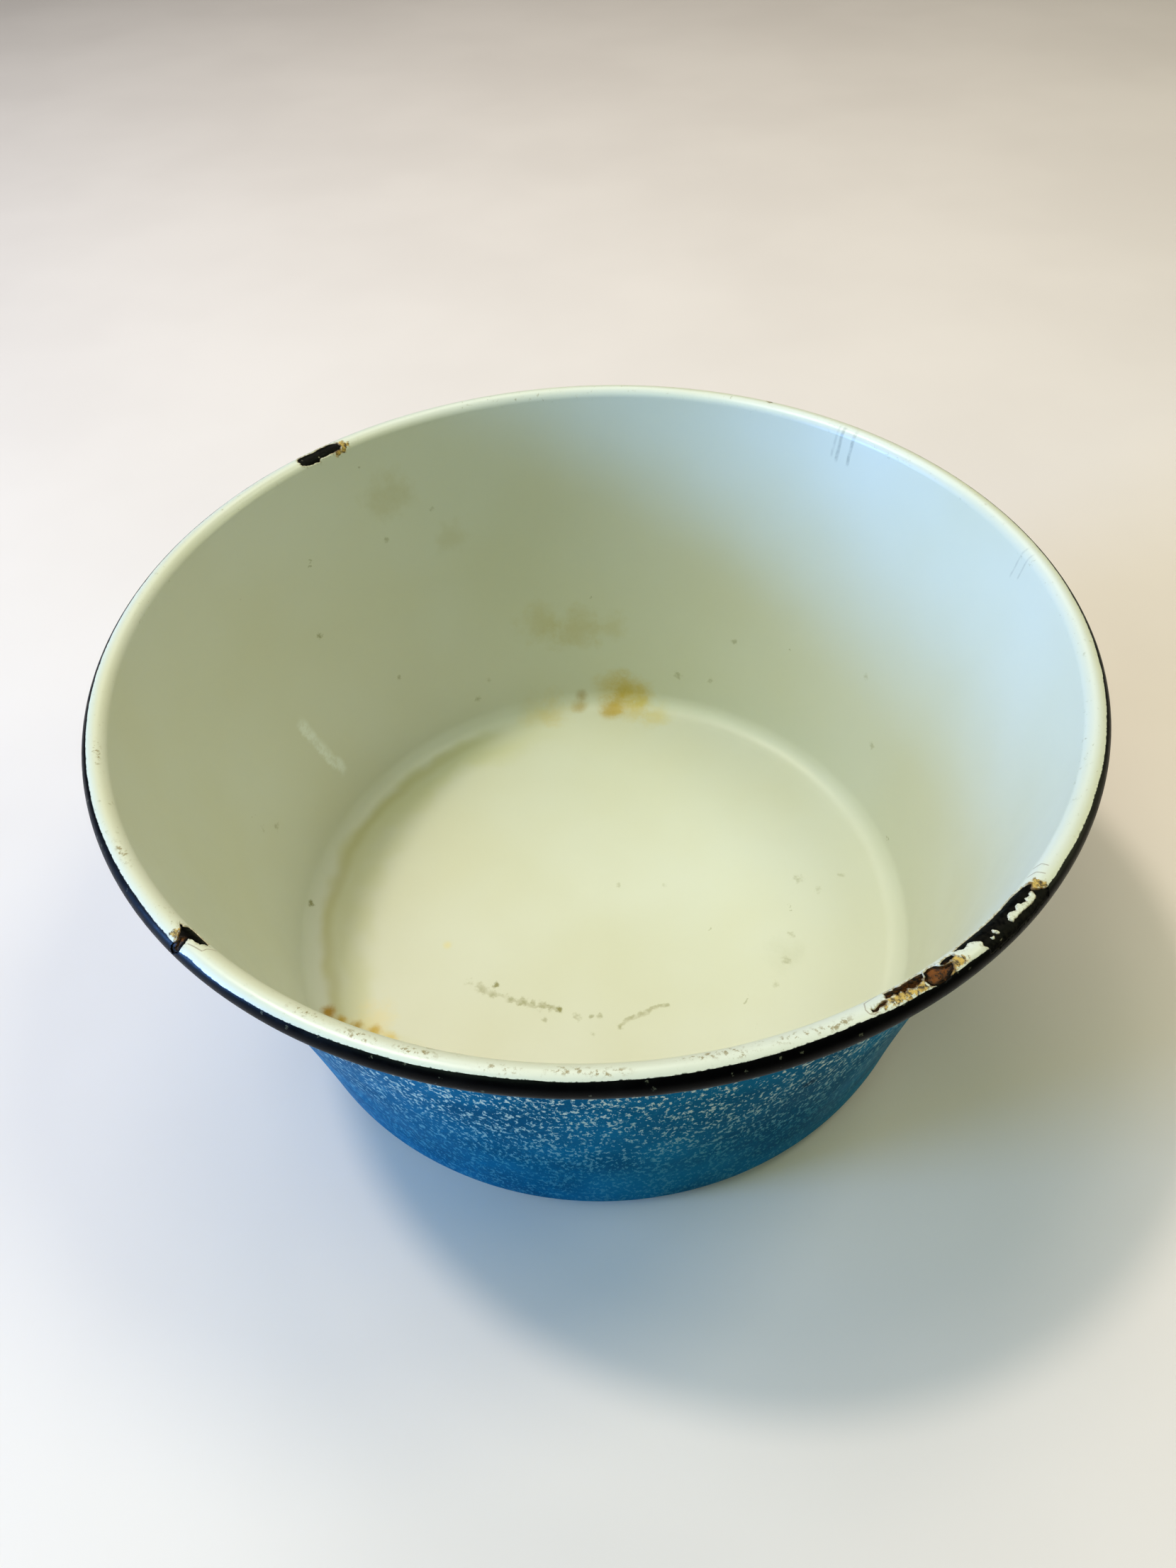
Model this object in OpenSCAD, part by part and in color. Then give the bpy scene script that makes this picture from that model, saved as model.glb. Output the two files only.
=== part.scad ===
// Enamelled basin: one pressed sheet with a rolled rim, and the coats fired onto it.
// Every layer lies between two surfaces that follow the same section: floor, corner arc,
// bowed wall, rim curl. Offsets count from the middle of the sheet, positive inwards.

/* [Basin] */
// Diameter over the rolled rim
rim_d = 260; // [230:1:330]
// Height from the table to the top of the rim
basin_h = 126; // [70:1:180]
// Diameter of the flat that stands on the table
base_flat_d = 191; // [140:1:215]
// Outside radius of the corner between base and wall
corner_r = 9; // [4:0.5:20]
// Radius of the wall's bow, whose hollow faces outwards
wall_bow_r = 1000; // [500:10:4000]

/* [Rim] */
// Diameter of the finished bead
bead_d = 6.6; // [5.5:0.1:12]
// Angle above level, on the bead's outer side, where white meets the black band
band_top_angle = 62; // [30:1:85]
// Angle below level where the rolled sheet ends, counted on past the bead's lowest point
curl_end_angle = 105; // [60:1:115]
// Gap between the rim wire and the sheet rolled round it
wire_clearance = 0.1; // [0.05:0.05:0.3]

/* [Sheet and coats] */
// Thickness of the pressed steel
sheet_t = 0.7; // [0.4:0.05:1]
// Thickness of the dark ground coat on each side
ground_t = 0.25; // [0.15:0.05:0.4]
// Thickness of the white, blue and black coats
cover_t = 0.3; // [0.15:0.05:0.5]

/* [Hidden] */

// Fineness of turned faces, small arcs and the long bow of the wall
turn_steps = 180;
arc_steps = 240;
bow_steps = 3600;

// Neighbouring arcs of the section overlap by this much, so that they always meet
tuck = 0.02;
// Cuts run past what they cut by this much
overrun = 1;
// Reach of the wedge that divides the bead, as a share of the bead's radius
wedge_reach_share = 1.5;
wedge_steps = 4;
// The black band's wedge runs this far past the end of the curl, in degrees
band_spare_angle = 4;

// Layer boundaries, as offsets from the middle of the sheet
sheet_face = sheet_t / 2;
ground_face = sheet_face + ground_t;
cover_face = ground_face + cover_t;

// Middle line of the sheet: corner and curl circles
corner_path_r = corner_r - cover_face;
corner_c = [base_flat_d / 2, corner_r];
curl_path_r = bead_d / 2 - cover_face;
curl_c = [(rim_d - bead_d) / 2, basin_h - bead_d / 2];

// The bow touches the corner circle from outside and the curl circle from within,
// so its centre is where two circles round corner_c and curl_c cross
bow_to_corner = wall_bow_r + corner_path_r - tuck;
bow_to_curl = wall_bow_r - curl_path_r + tuck;
span = curl_c - corner_c;
span_len = norm(span);
span_dir = span / span_len;
span_normal = [span_dir[1], -span_dir[0]];
bow_along = (bow_to_corner ^ 2 - bow_to_curl ^ 2 + span_len ^ 2) / (2 * span_len);
bow_across = sqrt(bow_to_corner ^ 2 - bow_along ^ 2);
bow_c = corner_c + span_dir * bow_along + span_normal * bow_across;

// Directions from the corner to the bow's centre, and from there to the top of the wall
bow_heading = heading(bow_c - corner_c);
wall_top_heading = heading(curl_c - bow_c);

// The wire fills the curl, and the outside coats stop on the wall level with its underside
curl_hollow_r = curl_path_r - sheet_face;
wire_r = curl_hollow_r - wire_clearance;
coat_end_heading = wall_top_heading + curl_hollow_r / wall_bow_r * 180 / PI;

// Frame round the section: below the floor, well inside the wall, and out to the middle of the bead
skirt = corner_r;
inset = base_flat_d / 4;
wedge_reach = bead_d / 2 * wedge_reach_share;

function heading(v) = v[0] < 0 ? atan(v[1] / v[0]) + 180 : atan(v[1] / v[0]);
function on_circle(r, a) = r * [cos(a), sin(a)];

// Lower corners of the frame, moved out by a spare
function low_in(spare) = [corner_c[0], -skirt - spare];
function low_out(spare) = [curl_c[0] + spare, -skirt - spare];

// Outline of the space under a whole wall, up to the curl and the groove that its end leaves
function rim_outline(spare) = [
    curl_c,
    curl_c + on_circle(inset, wall_top_heading),
    low_in(spare),
    low_out(spare),
    curl_c + on_circle(wedge_reach, -curl_end_angle - (spare > 0 ? 0 : band_spare_angle))
];

// Outline of the space under a wall that stops where the outside coats do
function coat_outline(spare) =
    let (top_heading = coat_end_heading - spare / wall_bow_r * 180 / PI) [
        bow_c + on_circle(wall_bow_r - bead_d - spare, top_heading),
        bow_c + on_circle(wall_bow_r + inset, top_heading),
        low_in(spare),
        low_out(spare)
    ];

// Disc whose edge is the bowed wall, shifted inwards
module bow_disc(shift) {
    translate(corner_c)
        rotate(bow_heading)
            translate([bow_to_corner, 0])
                circle(r = wall_bow_r + shift, $fn = bow_steps);
}

// Everything below the floor and outside the corner and wall of the section, shifted inwards.
// A cut takes a spare, so that its frame passes the frame of what it is cut from
module under(shift, wall_outline, spare) {
    translate([-spare, -skirt - spare])
        square([curl_c[0] + 2 * spare, skirt + spare + cover_face + shift]);
    difference() {
        polygon([
            corner_c,
            low_in(spare),
            low_out(spare),
            corner_c + [span[0] + spare, (span[0] + spare) * tan(bow_heading)]
        ]);
        translate(corner_c)
            circle(r = corner_path_r - shift, $fn = arc_steps);
    }
    intersection() {
        bow_disc(shift);
        polygon(wall_outline);
    }
}

// The same with the bead on top
module under_with_bead(shift, spare) {
    under(shift, rim_outline(spare), spare);
    translate(curl_c)
        circle(r = curl_path_r + shift, $fn = arc_steps);
}

// Wedge of the bead that the black band covers, from its top edge to past the curl's end
module band_wedge() {
    step = (band_top_angle + curl_end_angle + band_spare_angle) / wedge_steps;
    translate(curl_c)
        polygon(concat([[0, 0]],
            [for (i = [0 : wedge_steps]) on_circle(wedge_reach, band_top_angle - i * step)]));
}

module turned() {
    rotate_extrude($fn = turn_steps) children();
}

// Section of a layer over the inside: floor, corner, wall and the whole curl
module inside_section(low, high) {
    difference() {
        under_with_bead(high, 0);
        under_with_bead(low, overrun);
    }
}

// Layer over the outside: base, corner and the wall up to the groove under the bead
module outside_layer(low, high) {
    turned()
        difference() {
            under(high, coat_outline(0), 0);
            under(low, coat_outline(overrun), overrun);
        }
}

// Deep-drawn sheet with its edge rolled outwards
module steel_body() {
    color("dimgray")
        turned()
            inside_section(-sheet_face, sheet_face);
}

// Wire that the rim is rolled round
module rim_wire() {
    color("silver")
        turned()
            translate(curl_c)
                circle(r = wire_r, $fn = arc_steps);
}

// Dark first coat over the inside and the bead
module inner_ground_coat() {
    color("#1c1c1e")
        turned()
            inside_section(sheet_face, ground_face);
}

// Dark first coat over the outside
module outer_ground_coat() {
    color("#1c1c1e")
        outside_layer(-ground_face, -sheet_face);
}

// White coat over the inside and the top of the bead
module interior_enamel() {
    color("ivory")
        turned()
            difference() {
                inside_section(ground_face, cover_face);
                band_wedge();
            }
}

// Blue coat over the outside
module exterior_enamel() {
    color("steelblue")
        outside_layer(-cover_face, -ground_face);
}

// Black coat round the outer face of the bead
module rim_band() {
    color("black")
        turned()
            intersection() {
                inside_section(ground_face, cover_face);
                band_wedge();
            }
}

steel_body();
rim_wire();
inner_ground_coat();
outer_ground_coat();
interior_enamel();
exterior_enamel();
rim_band();
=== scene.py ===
import math

import bpy
import numpy as np
from mathutils import Matrix, Vector


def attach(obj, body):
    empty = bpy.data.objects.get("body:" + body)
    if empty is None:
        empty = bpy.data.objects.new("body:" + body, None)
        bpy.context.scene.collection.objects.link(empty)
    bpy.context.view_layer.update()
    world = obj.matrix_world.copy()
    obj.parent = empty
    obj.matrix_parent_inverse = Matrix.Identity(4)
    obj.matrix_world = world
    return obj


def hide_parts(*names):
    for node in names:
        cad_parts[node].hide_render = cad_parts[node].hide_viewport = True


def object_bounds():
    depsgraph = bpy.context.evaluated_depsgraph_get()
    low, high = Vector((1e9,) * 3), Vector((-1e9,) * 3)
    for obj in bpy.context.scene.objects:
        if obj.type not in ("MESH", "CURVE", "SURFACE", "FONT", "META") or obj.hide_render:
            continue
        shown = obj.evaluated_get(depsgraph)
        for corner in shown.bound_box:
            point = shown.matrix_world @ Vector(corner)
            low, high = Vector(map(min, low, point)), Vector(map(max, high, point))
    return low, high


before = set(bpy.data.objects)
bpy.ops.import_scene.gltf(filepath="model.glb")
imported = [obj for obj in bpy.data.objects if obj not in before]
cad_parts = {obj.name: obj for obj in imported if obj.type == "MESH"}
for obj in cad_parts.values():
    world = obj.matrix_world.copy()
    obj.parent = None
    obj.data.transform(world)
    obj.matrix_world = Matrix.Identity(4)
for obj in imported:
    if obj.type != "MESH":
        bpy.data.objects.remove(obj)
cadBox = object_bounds()
print("frame loaded:", sorted(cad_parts))

mm = 0.001

# The pressed section. Layer faces count from the middle of the sheet, positive inwards
section = {
    "rimR": cadBox[1][0],
    "height": cadBox[1][2],
    "flatR": 95.5 * mm,       # flat of the base
    "cornerR": 9 * mm,        # outside of the corner between base and wall
    "bowR": 1000 * mm,        # long bow of the wall, hollow outwards
    "beadR": 3.3 * mm,        # rolled rim
    "curlEnd": -105,          # degrees round the bead where the rolled edge stops
    "sheetFace": 0.35 * mm,
    "groundFace": 0.6 * mm,
    "coverFace": 0.9 * mm,
    "coatStop": 2.05 * mm,    # outside coats stop this far below the middle of the bead
}
sheetFace = section["sheetFace"]
groundFace = section["groundFace"]
coverFace = section["coverFace"]
beadR = section["beadR"]
cornerPathR = section["cornerR"] - coverFace
curlPathR = beadR - coverFace
cornerC = np.array([section["flatR"], section["cornerR"]])
curlC = np.array([section["rimR"] - beadR, section["height"] - beadR])

# Centre of the bow: where circles about the corner and curl centres cross, on the outer side
bowR = section["bowR"]
span = curlC - cornerC
spanLen = np.hypot(span[0], span[1])
toCorner = bowR + cornerPathR
toCurl = bowR - curlPathR
along = (toCorner ** 2 - toCurl ** 2 + spanLen ** 2) / (2 * spanLen)
across = math.sqrt(toCorner ** 2 - along ** 2)
bowC = cornerC + span / spanLen * along + np.array([span[1], -span[0]]) / spanLen * across
bowHeading = math.degrees(math.atan2(bowC[1] - cornerC[1], bowC[0] - cornerC[0]))
wallTop = math.degrees(math.atan2(curlC[1] - bowC[1], curlC[0] - bowC[0]))
curlSweep = wallTop - section["curlEnd"]
wallSweep = bowHeading + 180 - wallTop
coatStopP = 3 - math.degrees(section["coatStop"] / bowR) / wallSweep


# Section point for p from 0 to 4: floor line, corner arc, bowed wall, curl; shift is inwards
def sectionPoint(p, shift):
    cornerA = np.radians(-90 + (bowHeading + 90) * np.clip(p - 1, 0, 1))
    wallA = np.radians(bowHeading + 180 - wallSweep * np.clip(p - 2, 0, 1))
    curlA = np.radians(wallTop - curlSweep * (p - 3))
    parts = [p < 1, p < 2, p < 3]
    r = np.select(parts, [
        section["flatR"] * p,
        cornerC[0] + (cornerPathR - shift) * np.cos(cornerA),
        bowC[0] + (bowR + shift) * np.cos(wallA),
    ], curlC[0] + (curlPathR + shift) * np.cos(curlA))
    z = np.select(parts, [
        coverFace + shift,
        cornerC[1] + (cornerPathR - shift) * np.sin(cornerA),
        bowC[1] + (bowR + shift) * np.sin(wallA),
    ], curlC[1] + (curlPathR + shift) * np.sin(curlA))
    return r, z


# Place on the path of an angle round the bead
def beadP(phi):
    return 3 + (wallTop - phi) / curlSweep


# Angle round the bead of a place on the path; on the wall it runs on by length
def beadPhi(p):
    wallTurn = math.degrees(bowR * math.radians(wallSweep) / beadR)
    return wallTop - (p - 3) * np.where(p < 3, wallTurn, curlSweep)


def smoothStep(low, high, x):
    t = np.clip((x - low) / (high - low), 0, 1)
    return t * t * (3 - 2 * t)


# Value noise from -1 to 1: random numbers on a lattice, blended by smooth steps; x repeats after its cells
def valueNoise(x, y, seed, cells=64, rows=64):
    lattice = np.random.default_rng(seed).uniform(-1, 1, (cells, rows))
    x, y = np.broadcast_arrays(x, y)
    ix = np.floor(x).astype(int)
    iy = np.floor(y).astype(int)
    fx = smoothStep(0, 1, x - ix)
    fy = smoothStep(0, 1, y - iy)
    ix, nextX = ix % cells, (ix + 1) % cells
    iy, nextY = iy % rows, (iy + 1) % rows
    low = lattice[ix, iy] * (1 - fx) + lattice[nextX, iy] * fx
    high = lattice[ix, nextY] * (1 - fx) + lattice[nextX, nextY] * fx
    return low * (1 - fy) + high * fy


# Noise that closes on itself round the rim
def ringNoise(angle, seed, cells, y=0.5):
    return valueNoise((angle + 180) / 360 * cells, y, seed, cells)


# The bead unrolled: length round the rim and length over its top
def beadPlane(angle, phi):
    return np.radians(angle) * section["rimR"], np.radians(phi) * beadR


# Distance of points from the line between two others
def segmentGap(x, y, ax, ay, bx, by):
    t = ((x - ax) * (bx - ax) + (y - ay) * (by - ay)) / ((bx - ax) ** 2 + (by - ay) ** 2)
    t = np.clip(t, 0, 1)
    return np.hypot(x - ax - t * (bx - ax), y - ay - t * (by - ay))


# Distance from an open line on the bead: that of its nearest stretch
def lineGap(angle, phi, points):
    x, y = beadPlane(angle, phi)
    px, py = beadPlane(*np.array(points, float).T)
    return np.min([segmentGap(x, y, *ends) for ends in zip(px[:-1], py[:-1], px[1:], py[1:])], axis=0)


# Signed distance from a closed outline on the bead, negative inside by counting crossings
def outlineGap(angle, phi, outline):
    closed = list(outline) + [outline[0]]
    nearest = lineGap(angle, phi, closed)
    x, y = beadPlane(angle, phi)
    px, py = beadPlane(*np.array(closed, float).T)
    inside = np.zeros(nearest.shape, bool)
    for ax, ay, bx, by in zip(px[:-1], py[:-1], px[1:], py[1:]):
        slope = (bx - ax) / (by - ay) if by != ay else 0
        inside ^= ((ay > y) != (by > y)) & (x < slope * (y - ay) + ax)
    return np.where(inside, -nearest, nearest)


# Least gap to any of several outlines or lines
def nearestGap(measure, angle, phi, outlines):
    return np.min([measure(angle, phi, outline) for outline in outlines], axis=0)


# Wear of the rim, as outlines of (degrees round the rim, degrees round the bead)
wear = {
    "chips": [
        [(-56.1, 134), (-54.6, 146), (-52.9, 146), (-50.6, 142), (-48.6, 146), (-47.4, 154), (-45.9, 147),
         (-45.1, 135), (-44.4, 112), (-45.2, 98), (-44.8, 81), (-43.8, 56), (-44.2, 30), (-53.5, 30),
         (-53.1, 46), (-53.5, 75), (-53.4, 88), (-53.6, 103), (-54.3, 120), (-55.2, 112), (-55.7, 121)],
        [(-64.6, 108), (-64.2, 144), (-63.7, 149), (-63.4, 138), (-62.9, 152), (-62.6, 138), (-61.9, 144),
         (-60.8, 145), (-60, 134), (-60.4, 108), (-61.3, 94), (-62.1, 91), (-62.3, 105), (-62.8, 92),
         (-63, 109), (-63.5, 98), (-63.7, 113), (-64.2, 105)],
        [(-57.7, 127), (-57, 136), (-56.5, 126), (-56.4, 110), (-57.2, 108), (-57.9, 105), (-58.1, 116)],
        [(-66.4, 95), (-66.2, 88), (-65.7, 96), (-65, 102), (-64.7, 97), (-65, 90), (-65.6, 87), (-66.1, 78),
         (-66.5, 82)],
        [(-134.8, 116), (-134.7, 142), (-134.5, 150), (-134.2, 160), (-133, 158), (-131.8, 158),
         (-131.4, 149), (-131.2, 136), (-131.7, 128), (-131.7, 117), (-132.5, 111), (-133, 106), (-133, 98),
         (-132.8, 72), (-132.8, 49), (-133.3, 27), (-133.6, 8), (-133.9, 30), (-133.8, 57), (-133.7, 71),
         (-134.1, 93), (-134.6, 113)],
        [(-135.3, 122), (-135.2, 131), (-134.9, 124), (-134.9, 116)],
        [(135.1, 74), (134.6, 63), (133.7, 67), (133, 76), (132.3, 84), (131.1, 67), (130.4, 71), (130, 66),
         (129.3, 78), (128.5, 98), (128.4, 130), (128.7, 142), (130.1, 146), (132.2, 146), (132.5, 161),
         (133.7, 153), (134.6, 148), (135.3, 136), (135.4, 106)],
        [(60.9, 68), (60.6, 86), (60.2, 80), (60.1, 66)],
    ],
    # Cover coat that is left standing inside the chips
    "islands": [
        [(-45.2, 94), (-45.7, 98), (-45.9, 87), (-46.4, 94), (-46.7, 84), (-47.2, 90), (-47.4, 102),
         (-47.9, 101), (-48.2, 90), (-48.8, 103), (-49.4, 98), (-49.7, 83), (-49.4, 68), (-47.9, 66),
         (-47, 67), (-46.3, 61), (-45.6, 66), (-45.3, 81)],
        [(-51.6, 97), (-51.3, 84), (-51.2, 70), (-51.6, 74), (-51.8, 86)],
        [(-52.4, 82), (-52, 78), (-52.1, 68), (-52.4, 70)],
    ],
    "bareSteel": [
        [(-59.7, 126), (-59.1, 137), (-58.7, 130), (-58.3, 104), (-57.4, 90), (-57.6, 78), (-58.5, 60),
         (-59.8, 60), (-60.2, 70), (-60.3, 89)],
        [(-133.7, 30), (-133.1, 36), (-133.1, 80), (-133.4, 98), (-133.7, 88), (-133.5, 60)],
    ],
    # Ground coat that rust has crept over
    "rustyGround": [
        [(-64.8, 100), (-64.1, 145), (-60, 142), (-60.2, 90), (-63, 88)],
        [(-66.8, 84), (-65.2, 104), (-64.5, 98), (-66, 76)],
        [(-58.2, 104), (-57.4, 118), (-57, 108), (-57.6, 100)],
    ],
    "stains": [
        [(-65, 100), (-63.2, 104), (-62, 92), (-60.6, 96), (-60.6, 66), (-62.4, 66), (-63.8, 71),
         (-65.2, 78)],
        [(-58, 90), (-56.7, 106), (-55.7, 84), (-55.9, 69), (-57, 66), (-58.3, 54)],
        [(-44.4, 116), (-43.9, 113), (-43.4, 81), (-43.5, 60), (-44.8, 75), (-45.1, 95)],
        [(-134.8, 75), (-134.6, 102), (-133.9, 86), (-133.8, 72), (-133.9, 57), (-134.5, 63)],
        [(128.4, 101), (127.6, 109), (127, 128), (127.3, 143), (128.1, 160), (128.9, 174), (129.8, 168),
         (129.4, 145), (128.6, 140)],
    ],
    "hairlines": [
        [(-64.9, 146), (-66, 136), (-66.5, 131), (-66.9, 100), (-66.8, 82), (-66.4, 73), (-66, 76)],
        [(-43.6, 145), (-42.8, 126), (-42.6, 93)],
        [(-42.2, 150), (-41.5, 128), (-41.5, 100)],
        [(-130.2, 146), (-130.7, 119), (-130.8, 99), (-131.8, 93), (-132.5, 86)],
    ],
    # Rubbed-in dirt on top of the bead, where it gathers
    "dirt": [
        (-70.2, 92), (-73.5, 104), (-78.6, 99), (-80.1, 124), (-82.1, 115), (-90.3, 93), (-93.4, 101),
        (-99.4, 91), (-107, 103), (-112.4, 100), (-118, 108), (-147, 104), (-163, 110),
    ],
    "dirtSize": (4.6 * mm, 1.1 * mm),
    # Raggedness of the chips, as (depth, grain, seed), and how far they open past bare steel
    "ragged": [(0.18 * mm, 0.8 * mm, 21), (0.12 * mm, 0.36 * mm, 22)],
    "pastSteel": 0.35 * mm,
    # Spans of the rim in degrees where chips go down to the ground coat, and to the steel
    "groundSpans": [(-67, -43), (-136, -130.5), (127, 136.5), (59.5, 61.5)],
    "steelSpans": [(-61, -56.8), (-134.4, -132.5)],
}

# Where white meets black: points of (degrees round the rim, degrees round the bead), and a fine
# waver of (degrees, cells round the rim, seed)
bandEdge = {
    "points": [
        (-180, 62), (-141, 62), (-137, 58), (-134, 54), (-132.8, 44), (-131.5, 49), (-128, 44), (-122, 46),
        (-112, 56), (-100, 61), (-84, 62), (-72, 67), (-68, 67), (-66, 64), (-63, 60), (-61, 60), (-60, 55),
        (-58.5, 58), (-56, 58), (-53.5, 54), (-50, 53), (-46, 53), (-44, 57), (-40, 60), (-20, 62), (180, 62),
    ],
    "waver": [(1.6, 190, 11), (1.1, 700, 12)],
}


# Edge between the colours: the points joined up, with the waver added
def edgePhi(angle):
    places, heights = np.array(bandEdge["points"], float).T
    waver = sum(swing * ringNoise(angle, seed, cells) for swing, cells, seed in bandEdge["waver"])
    return np.interp(angle, places, heights) + waver


# Ragged gap to the chips of the cover coats, and to the bare steel inside them
def chipGaps(angle, phi):
    x, y = beadPlane(angle, phi)
    ragged = sum(depth * valueNoise(x / grain, y / grain, seed) for depth, grain, seed in wear["ragged"])
    chips, islands, steel = (
        nearestGap(outlineGap, angle, phi, wear[key]) for key in ("chips", "islands", "bareSteel"))
    cover = np.minimum(np.maximum(chips, -islands), steel - wear["pastSteel"])
    return cover + ragged, steel + ragged


# 1 within a span of the rim, falling to 0 over so many degrees outside it
def inSpan(angle, low, high, fade):
    return smoothStep(low - fade, low, angle) * smoothStep(high + fade, high, angle)


# Columns round the rim, closer together where the rim is worn: spans and steps in degrees
columns = {
    "step": 0.86,
    "fine": [(-69, -41, 0.092), (-137, -128.5, 0.1), (125, 137, 0.15), (59.5, 61.5, 0.15)],
    "fade": 1,
    "samples": 36001,
}


# Angles spaced so that equal counts of columns pass under a density curve
def columnAngles():
    angle = np.linspace(-180, 180, columns["samples"])
    density = np.full(angle.shape, 1 / columns["step"])
    for low, high, step in columns["fine"]:
        density += inSpan(angle, low, high, columns["fade"]) * (1 / step - 1 / columns["step"])
    count = np.concatenate([[0], np.cumsum((density[1:] + density[:-1]) / 2 * np.diff(angle))])
    total = int(round(count[-1]))
    return np.interp(np.arange(total) * count[-1] / total, count, angle)


# How far a coat's hidden side sits under the layer beneath: deeper where chips open it
hiddenDepth = {"plain": 0.05 * mm, "groundSpans": 0.16 * mm, "steelSpans": 0.45 * mm, "fade": 0.6}


def backDepth(angle):
    depth = np.full(angle.shape, hiddenDepth["plain"])
    for key in ("groundSpans", "steelSpans"):
        for low, high in wear[key]:
            depth = np.maximum(depth, hiddenDepth[key] * inSpan(angle, low, high, hiddenDepth["fade"]))
    return depth


# Slow unevenness of the pressing and glaze, only ever below the true face.
# Noises are (share of the depth, rows for each stretch of the path, cells round the rim, seed)
glazeWaves = {"depth": 0.05 * mm, "noises": [(0.6, 3, 14, 31), (0.4, 7, 46, 32)]}


def slowWaves(angle, p):
    swing = sum(share * ringNoise(angle, seed, cells, p * rows)
                for share, rows, cells, seed in glazeWaves["noises"])
    return -glazeWaves["depth"] * (1 + swing)


# Vertices of a grid in mesh order: whole rows, but one vertex for a row that lies on the axis
def gridVertices(grid, poles):
    if not poles:
        return grid.reshape(-1, *grid.shape[2:])
    middle = grid[1:-1].reshape(-1, *grid.shape[2:])
    return np.concatenate([grid[:1, 0], middle, grid[-1:, 0]])


# Numbers of those vertices, closed round the axis and, without poles, round the section too
def gridIndex(rows, cols, poles):
    index = np.arange(rows * cols).reshape(rows, cols)
    if poles:
        index = index - cols + 1
        index[0] = 0
        index[-1] = (rows - 2) * cols + 1
    else:
        index = np.vstack([index, index[:1]])
    return np.hstack([index, index[:, :1]])


# UV corners: u runs round the axis and v along the section, with little room for rows that never show
def gridUv(points, angles, poles, shown, hiddenShare=0.1):
    closed = points if poles else np.concatenate([points, points[:1]])
    step = np.linalg.norm(np.diff(closed, axis=0), axis=2).mean(1)
    hidden = np.ones(len(step), bool)
    hidden[shown] = False
    step[hidden] *= hiddenShare * step[~hidden].sum() / max(step[hidden].sum(), mm)
    v = np.concatenate([[0], np.cumsum(step)]) / step.sum()
    u = np.append((angles + 180) / 360, 1.0)
    uCorners = np.stack([u[:-1], u[:-1], u[1:], u[1:]], -1)
    vCorners = np.stack([v[:-1], v[1:], v[1:], v[:-1]], -1)
    return np.stack(np.broadcast_arrays(uCorners[None], vCorners[:, None]), -1)


shellMesh = {"uvMap": "OFBake", "sharpAngle": math.radians(50)}


# A closed shell of revolution from grids of radius and height, one column for each angle.
# With poles, the first and last rows lie on the axis; without, the last row joins the first
def turnedShell(name, r, z, angles, poles, shown, masks):
    turn = np.radians(angles)
    points = np.stack([r * np.cos(turn), r * np.sin(turn), z], -1)
    index = gridIndex(*r.shape, poles)
    quads = np.stack([index[:-1, :-1], index[1:, :-1], index[1:, 1:], index[:-1, 1:]], -1)
    uv = gridUv(points, angles, poles, shown)
    parts = [(quads, uv)]
    if poles:
        parts = [(quads[1:-1], uv[1:-1])]
        parts += [(quads[row][:, keep], uv[row][:, keep]) for row, keep in ((0, [0, 1, 2]), (-1, [0, 1, 3]))]
    faces = []
    corners = []
    for faceGrid, uvGrid in parts:
        faces += faceGrid.reshape(-1, faceGrid.shape[-1]).tolist()
        corners.append(uvGrid.reshape(-1, 2))
    mesh = bpy.data.meshes.new(name)
    mesh.from_pydata(gridVertices(points, poles), [], faces)
    uvMap = mesh.uv_layers.new(name=shellMesh["uvMap"])
    uvMap.uv.foreach_set("vector", np.concatenate(corners).astype(np.float32).ravel())
    for key, grid in masks.items():
        mask = mesh.attributes.new(key, "FLOAT", "POINT")
        mask.data.foreach_set("value", gridVertices(grid, poles).astype(np.float32))
    mesh.shade_smooth()
    mesh.set_sharp_from_angle(angle=shellMesh["sharpAngle"])
    piece = bpy.data.objects.new(name, mesh)
    bpy.context.scene.collection.objects.link(piece)
    print(name, "built with", sum(len(face) - 2 for face in faces), "triangles")
    return piece


# Path places for one side of a coat: so many steps on the floor, corner and wall
def pathRows(floor, corner, wall):
    return np.concatenate([
        np.linspace(0, 1, floor + 1),
        np.linspace(1, 2, corner + 1)[1:],
        np.linspace(2, 3, wall + 1)[1:],
    ])[:, None]


# Rows of path places on the bead, from one angle to another, spread evenly between them
def beadRows(start, end, count):
    share = np.linspace(0, 1, count + 1)[1:, None]
    return beadP(start + (end - start) * share)


# Outer face of a cover coat: full height, sinking under the ground coat inside a chip
def coverShift(p, coat):
    cover, _ = chipGaps(rimAngles, beadPhi(p))
    full = coverFace + slowWaves(rimAngles, p)
    sunk = groundFace - depthUnder + coat["chipFloor"]
    half = coat["chipRamp"] / 2
    return full + (sunk - full) * smoothStep(half, -half, cover), cover


# Radius and height of a closed layer, one side after the other
def layerSection(first, second, firstShift, secondShift):
    shift = np.vstack([firstShift + 0 * first, secondShift + 0 * second])
    return sectionPoint(np.vstack([first, second]), shift)


# A layer of the rim and the inside: the side that shows, then the hidden side
def insideShell(name, front, back, shift, hiddenShift, poles, masks):
    r, z = layerSection(front, back, shift, hiddenShift)
    return turnedShell(name, r, z, rimAngles, poles, slice(0, len(front)), masks)


farGap = 9.0              # millimetres


# A gap in millimetres for the material, cut off where it is far, and far all over the hidden side
def faceMask(gap, back):
    return np.vstack([np.clip(gap / mm, -farGap, farGap), np.full(back.shape, farGap)])


rimAngles = columnAngles()
edge = edgePhi(rimAngles)
depthUnder = backDepth(rimAngles)
wide = np.ones((1, len(rimAngles)))

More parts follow.
